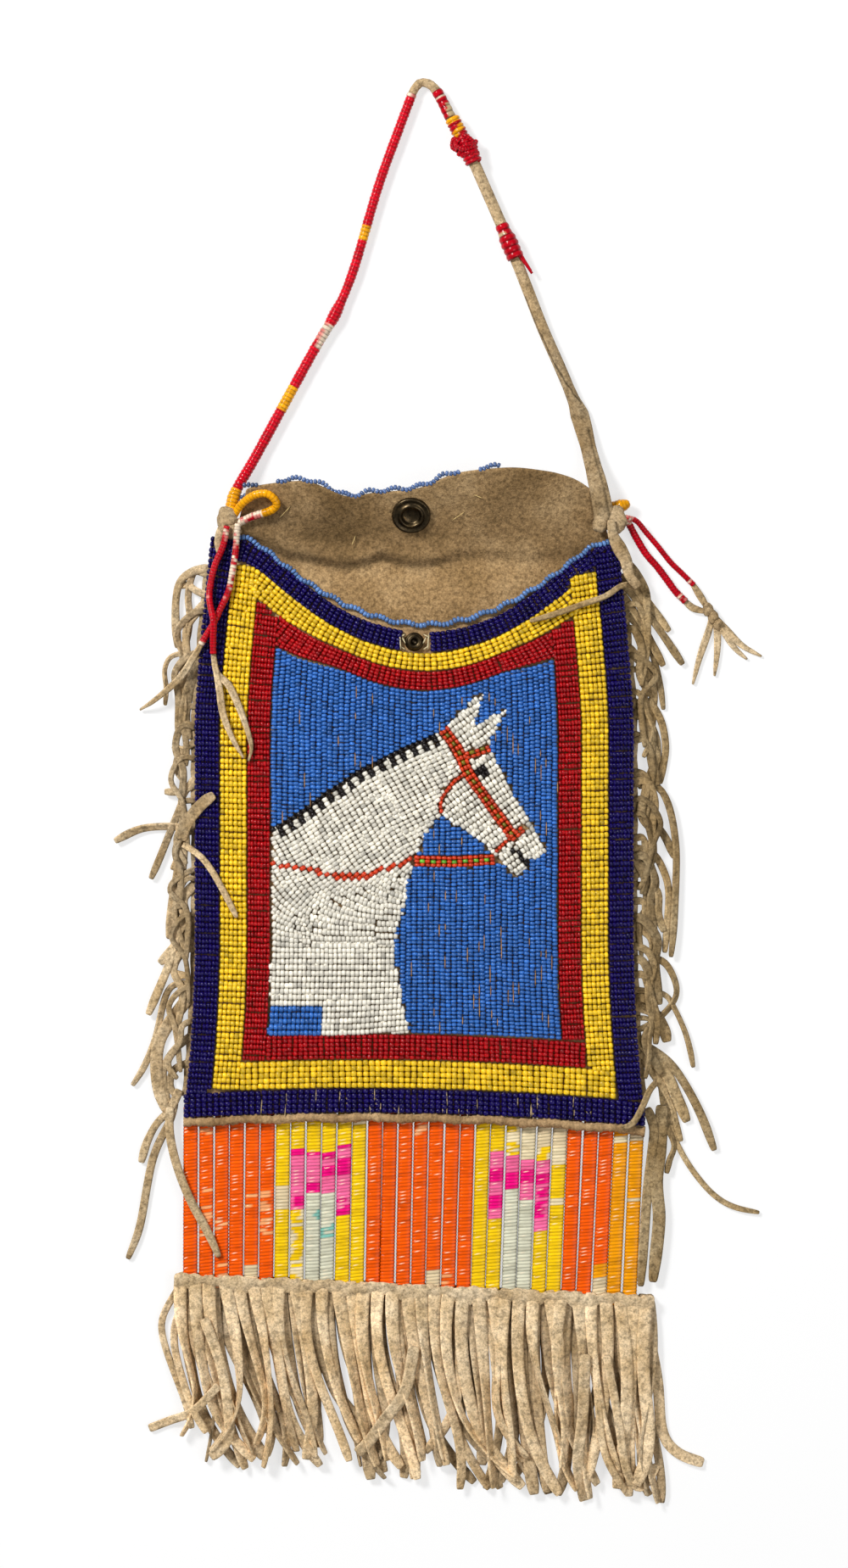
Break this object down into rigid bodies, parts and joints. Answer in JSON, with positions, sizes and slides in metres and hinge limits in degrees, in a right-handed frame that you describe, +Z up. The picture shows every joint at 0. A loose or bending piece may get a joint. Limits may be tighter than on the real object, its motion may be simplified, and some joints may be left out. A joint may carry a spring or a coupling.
{
  "type": "beaded pipe bag",
  "caption": "Flat hide pouch with a beaded front, a snap flap, quill-wrapped slats and long hide fringes, carried by a quill-wrapped thong handle.",
  "frame": {"origin": "middle of the pouch's back face, on the surface that the bag lies on", "axes": "+Z up out of the beaded front, +Y along the bag towards the mouth and the handle, +X to the right as seen from above"},
  "size_m": [0.2163, 0.4713, 0.0179],
  "materials": {
    "hide": "soft suede",
    "inner_hide": "smoked suede",
    "dark_blue_beads": "gloss",
    "yellow_beads": "gloss",
    "red_beads": "gloss",
    "sky_beads": "gloss",
    "white_beads": "gloss",
    "black_beads": "gloss",
    "orange_beads": "gloss",
    "edge_beads": "gloss",
    "orange_quill": "satin",
    "yellow_quill": "satin",
    "red_quill": "satin",
    "snap_metal": "tarnished"
  },
  "bodies": {
    "root": {"back_panel": "inner_hide", "front_panel": "hide", "lane_dark_blue": "dark_blue_beads", "lane_yellow": "yellow_beads", "lane_red": "red_beads", "field_blue": "sky_beads", "horse_white": "white_beads", "horse_mane": "black_beads", "bridle_orange": "orange_beads", "front_edge_beads": "edge_beads", "flap_edge_beads": "edge_beads", "slat_01": "orange_quill", "slat_02": "orange_quill", "slat_03": "orange_quill", "slat_04": "orange_quill", "slat_05": "orange_quill", "slat_06": "orange_quill", "slat_07": "yellow_quill", "slat_08": "yellow_quill", "slat_09": "yellow_quill", "slat_10": "yellow_quill", "slat_11": "yellow_quill", "slat_12": "yellow_quill", "slat_13": "orange_quill", "slat_14": "orange_quill", "slat_15": "orange_quill", "slat_16": "orange_quill", "slat_17": "orange_quill", "slat_18": "orange_quill", "slat_19": "orange_quill", "slat_20": "yellow_quill", "slat_21": "yellow_quill", "slat_22": "yellow_quill", "slat_23": "yellow_quill", "slat_24": "yellow_quill", "slat_25": "yellow_quill", "slat_26": "orange_quill", "slat_27": "orange_quill", "slat_28": "orange_quill", "slat_29": "yellow_quill", "slat_30": "yellow_quill", "bottom_welt": "hide", "bottom_fringe_front": "hide", "bottom_fringe_back": "hide", "left_side_fringe": "hide", "right_side_fringe": "hide", "handle_thong": "hide", "handle_left_wrap": "red_quill", "handle_upper_wrap": "red_quill", "handle_lower_wrap": "red_quill", "left_loop": "yellow_quill", "left_pendant_a": "red_quill", "left_pendant_b": "red_quill", "right_loop": "yellow_quill", "right_pendant_a": "red_quill", "right_pendant_b": "red_quill", "snap_socket": "snap_metal", "snap_cap": "snap_metal", "snap_stud": "snap_metal", "snap_eyelet": "snap_metal"}
  },
  "joints": []
}
